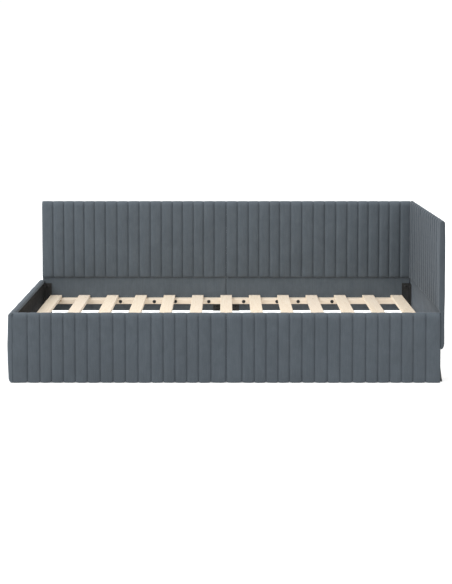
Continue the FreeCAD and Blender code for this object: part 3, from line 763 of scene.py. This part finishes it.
def right_end_cover():
    """The plain outer face of the high end. It wraps round the front edge and over the top and the bottom."""
    low, high = outer_low, outer_high + Vector((0, 0, END_RISE))
    ridge = (high.x + tuft_low.x) / 2
    front, back = low.y, high.y + 1.7 * MM
    front_round, inner_round, back_round, wrap = 10 * MM, 26 * MM, 7 * MM, 40 * MM
    top_round, foot_round = 13 * MM, 30 * MM
    squareness = 0.6  # 1 is round, and less is squarer
    columns, wrap_columns, outside_columns, rear_columns = 21, 6, 88, 3
    foot_turns, wall_rows = 12, 50
    fullest = 0.72  # the share of the height where the outer face stands out most

    turn = np.linspace(0, math.pi, columns)
    around = -np.sign(np.cos(turn)) * np.abs(np.cos(turn)) ** squareness
    bulge = np.sin(turn) ** squareness
    inside_run = np.linspace(front + wrap, front + inner_round, wrap_columns, endpoint=False)
    round_off = np.where(np.cos(turn) > 0, inner_round, front_round)
    outside_run = np.linspace(front + front_round, back - back_round, outside_columns + 2)[1:-1]
    rear_run = np.linspace(back - back_round, back_low.y + 0.5 * MM, rear_columns + 1)[1:]
    inside, outside, rear = -np.ones(wrap_columns), np.ones(outside_columns), -np.ones(rear_columns)
    side = np.concatenate([inside, around, outside, -around, rear])
    place = np.concatenate(
        [
            inside_run,
            front + round_off * (1 - bulge),
            outside_run,
            back - back_round * (1 - bulge),
            rear_run,
        ]
    )
    nose = np.concatenate([0 * inside, bulge, 0 * outside, -bulge, 0 * rear])

    turn = np.linspace(0, math.pi / 2, foot_turns)
    foot_rows = low.z + foot_round * (1 - np.cos(turn))
    top_rows = high.z - top_round * (1 - np.cos(turn[::-1]))
    wall = np.linspace(foot_rows[-1], top_rows[0], wall_rows + 2)[1:-1]
    heights = np.concatenate([foot_rows, wall, top_rows])
    shrink = np.concatenate([1 - np.sin(turn), 0 * wall, 1 - np.sin(turn[::-1])])

    above_seam = np.clip((heights - tuft_low.z) / (5 * MM) + 0.5, 0, 1)
    inner_face = under_low.x + (tuft_low.x - under_low.x) * above_seam
    level = (heights - low.z) / (high.z - low.z)
    bow = 3.4 * MM * np.clip(level - fullest, 0, 1) ** 2 / (1 - fullest) ** 2
    bow += 3.6 * MM * np.clip(fullest - level, 0, 1) ** 2 / fullest**2 - 0.9 * MM
    board_low, board_high = (np.array(corner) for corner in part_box("right_end_board"))
    before_board = np.clip((board_low[1] + 6 * MM - place[:, None]) / (14 * MM), 0, 1)
    outer_face = high.x - bow * before_board
    lean_in = 7 * MM * np.clip((low.z + foot_round - heights) / foot_round, 0, 1)
    ridge = ridge - lean_in * before_board
    reach = np.where(side[:, None] < 0, ridge - inner_face, outer_face - ridge)
    uneven = 0.4 * MM * ripple(place[:, None], heights, 140 * MM, 101)
    across = ridge + side[:, None] * (reach + uneven) * (1 - shrink)
    level_with_board = (heights > board_low[2] - 2 * MM) & (heights < board_high[2] + 1 * MM)
    along_board = (place[:, None] > board_low[1] - 1 * MM) & (side[:, None] > 0.9)
    least = np.where(level_with_board & along_board, board_high[0] + 0.8 * MM, -np.inf)
    across = np.maximum(across, least)
    behind = place[:, None] > back_low.y
    across = np.where(behind, np.maximum(across, under_low.x + 1.5 * MM), across)
    along = place[:, None] + nose[:, None] * 4 * MM * shrink
    outer = np.stack(np.broadcast_arrays(across, along, heights), axis=-1)
    inner = np.clip(outer, board_low, board_high)
    piece = shell(
        "right_end_cover",
        outer,
        inner,
        np.zeros(outer.shape[:2]),
        VELVET["right"],
        ["right_end_outer_cover"],
    )


right_end_tufts()
right_end_band()
right_end_cover()


# ----------------------------------------------------------------- linings


def lining(name, node, board, axis, inward):
    """A thin black lining stretched over the hidden side of a board, with a folded and stitched hem."""
    low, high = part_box(node)
    side = 1 - axis
    thickness = high[side] - low[side]
    face = high[side] if inward < 0 else low[side]
    fold, proud = 15 * MM, 0.5 * MM
    along = np.linspace(low[axis], high[axis], 160)
    cross_section, _ = section(
        bend((thickness, low.z), (0, low.z + 2 * MM), 4, flat_first=True),
        straight((0, low.z + 2 * MM), (0, high.z - fold), 30),
        straight((0, high.z - fold), (-proud, high.z - fold + 0.6 * MM), 2),
        straight((-proud, high.z - fold + 0.6 * MM), (-proud, high.z - 2 * MM), 6),
        bend((-proud, high.z - 2 * MM), (thickness, high.z), 4, flat_first=False),
        end=(thickness, high.z),
    )
    depth, height = cross_section[:, 0], cross_section[:, 1]
    free = np.clip((thickness - depth) / thickness, 0, 1)
    slack = 0.25 * MM * ripple(along[:, None], height, 90 * MM, len(name)) * free
    panel = Panel(board, axis, face, inward)
    outer = panel.points(along[:, None], depth + slack, height)
    inner = np.clip(outer, panel.low, panel.high)
    piece = shell(name, outer, inner, np.zeros(outer.shape[:2]), LINING, [node])


for half in ("left", "right"):
    lining(f"front_inner_lining_{half}", f"front_lining_{half}", f"front_board_{half}", 0, -1)
    lining(f"back_rear_lining_{half}", f"back_lining_{half}", f"back_board_{half}", 0, -1)
lining("left_end_inner_lining", "left_end_lining", "left_end_board", 1, -1)


# --------------------------------------------------------------- fasteners


def solids_of(node):
    """The corners of the points of each separate solid in a node."""
    shape = bmesh.new()
    shape.from_mesh(nodes[node].data)
    bmesh.ops.remove_doubles(shape, verts=shape.verts, dist=0.01 * MM)
    unseen = set(shape.verts)
    solids = []
    while unseen:
        queue = [unseen.pop()]
        points = []
        while queue:
            vertex = queue.pop()
            points.append(vertex.co[:])
            for edge in vertex.link_edges:
                other = edge.other_vert(vertex)
                if other in unseen:
                    unseen.remove(other)
                    queue.append(other)
        solids.append(np.array(points))
    shape.free()
    return sorted(solids, key=lambda points: tuple(points.mean(axis=0).round(4)))


def hexagon(angle):
    return math.cos(math.pi / 6) / math.cos((angle + math.pi / 6) % (math.pi / 3) - math.pi / 6)


def cross(angle):
    return 0.34 + 0.66 * abs(math.cos(2 * angle)) ** 6


def fastener_rings(length, head, radius, shank, style):
    """Rings from the shank's tip to the bottom of the drive in the head: height, radius and outline."""
    tip = [(0, shank * 0.5, None), (shank * 0.6, shank, None)]
    top = length
    if style == "countersunk":
        body = [
            (top - radius * 0.95, shank, None),
            (top - 0.25 * MM, radius, None),
            (top, radius * 0.97, None),
        ]
        drive, depth, outline = radius * 0.6, 1.6 * MM, cross
    else:
        under = top - head
        body = [
            (under, shank, None),
            (under, radius * 0.97, None),
            (under + head * 0.3, radius, None),
            (under + head * 0.62, radius * 0.93, None),
            (under + head * 0.88, radius * 0.76, None),
            (top, radius * 0.56, None),
        ]
        drive, depth = radius * (0.42 if style == "button" else 0.5), head * 0.6
        outline = hexagon if style == "button" else cross
    socket = [(top, drive, outline), (top - depth, drive * 0.9, outline)]
    return tip + body + socket


def fasteners(name, node, style, material):
    """Turned fasteners, each as long and as wide as the plain one that it stands for."""
    around = 24
    points, faces = [], []
    for solid in solids_of(node):
        low, high = solid.min(axis=0), solid.max(axis=0)
        axis = int(np.argmax(high - low))
        centre = (low + high) / 2
        others = [k for k in range(3) if k != axis]
        spread = np.linalg.norm(solid[:, others] - centre[others], axis=1)
        radius = spread.max()
        wide = solid[spread > 0.9 * radius, axis]
        sign = 1 if wide.mean() > centre[axis] else -1
        foot = low[axis] if sign > 0 else high[axis]
        length = high[axis] - low[axis]
        narrow = spread[np.abs(solid[:, axis] - foot) < 0.2 * MM].max()
        rings = fastener_rings(length, np.ptp(wide), radius, narrow, style)
        first = len(points)
        for height, size, outline in rings:
            for k in range(around):
                angle = math.tau * k / around
                reach = size * (outline(angle) if outline else 1)
                point = [0.0, 0.0, 0.0]
                point[axis] = foot + sign * height
                point[others[0]] = centre[others[0]] + reach * math.cos(angle)
                point[others[1]] = centre[others[1]] + reach * math.sin(angle)
                points.append(point)
        for ring in range(len(rings) - 1):
            for k in range(around):
                here, there = first + ring * around + k, first + ring * around + (k + 1) % around
                faces.append((here, there, there + around, here + around))
        last = first + (len(rings) - 1) * around
        faces.append(tuple(range(first + around - 1, first - 1, -1)))
        faces.append(tuple(range(last, last + around)))
    piece = new_piece(name, points, faces, material, [node])
    finish_mesh(piece, smooth_angle=math.radians(38))


fasteners("front_rail_bolts", "rail_bolts_front", "button", BLACK_ZINC)
fasteners("back_rail_bolts", "rail_bolts_back", "button", BLACK_ZINC)
fasteners("corner_leg_bolts", "leg_bolts", "button", BLACK_ZINC)
fasteners("joint_plate_pan_screws", "joint_plate_screws", "pan", BLACK_ZINC)
fasteners("centre_leg_pan_screws", "centre_leg_screws", "pan", ZINC)
fasteners("slat_countersunk_screws", "slat_screws", "countersunk", ZINC)


# -------------------------------------------------------- carried-over nodes


def paint(material, *names):
    for name in names:
        nodes[name].data.materials.clear()
        nodes[name].data.materials.append(material)


def named(start):
    return [name for name in nodes if name.startswith(start)]


paint(PINE_ACROSS, *[f"slat_{number:02d}" for number in range(1, 14)])
paint(PINE_ALONG, *named("slat_rail"))
paint(black_wood(), "centre_leg")
paint(powder_coat("black powder coat", 0.013, 0.42), *named("corner_leg"), *named("front_joint"))
paint(nodes["front_joint_plate"].data.materials[0], "back_joint_plate", "centre_leg_plate")
paint(particle_board(), *[name for name in nodes if "board" in name])
paint(moulded_plastic(), "floor_glides")
paint(ZINC, "rail_inserts_front", "rail_inserts_back", "leg_inserts")


# --------------------------------------------------------------- the studio


def floor():
    half = 30
    corners = [(-half, -half, 0), (half, -half, 0), (half, half, 0), (-half, half, 0)]
    mesh = bpy.data.meshes.new("floor")
    mesh.from_pydata(corners, [], [(0, 1, 2, 3)])
    plane = bpy.data.objects.new("floor", mesh)
    plane.location.z = -0.3 * MM
    bpy.context.scene.collection.objects.link(plane)
    mesh.materials.append(studio_floor())


def sunlight(name, source, strength, angle):
    """Soft light from a source so far away that it falls evenly on the whole bed."""
    light = bpy.data.lights.new(name, "SUN")
    light.energy = strength
    light.angle = angle
    lamp = bpy.data.objects.new(name, light)
    lamp.rotation_euler = (-Vector(source)).to_track_quat("-Z", "Y").to_euler()
    bpy.context.scene.collection.objects.link(lamp)


def daylight(strength):
    """A white room."""
    world = bpy.data.worlds.new("white studio")
    world.use_nodes = True
    background = world.node_tree.nodes["Background"]
    background.inputs["Color"].default_value = grey(1)
    background.inputs["Strength"].default_value = strength
    bpy.context.scene.world = world


def camera():
    """A long lens at eye height in front of the middle of the bed, tilted slightly down and shifted."""
    distance, eye_height, tilt = 6.0864, 1.4499, math.radians(3)
    data = bpy.data.cameras.new("camera")
    data.lens = 73.09
    data.shift_x, data.shift_y = -0.0004, -0.2578
    eye = bpy.data.objects.new("camera", data)
    eye.location = (0, -distance, eye_height)
    eye.rotation_euler = (math.pi / 2 - tilt, 0, 0)
    bpy.context.scene.collection.objects.link(eye)
    bpy.context.scene.camera = eye


floor()
daylight(1.02)
sunlight("high left key", (-1, -0.35, 1), 1.4, 0.5)
sunlight("front left fill", (-0.8, -1, 0.9), 0.6, 0.7)
sunlight("top fill", (0, -0.25, 1), 0.3, 0.7)
camera()
bpy.context.scene.view_settings.view_transform = "Standard"
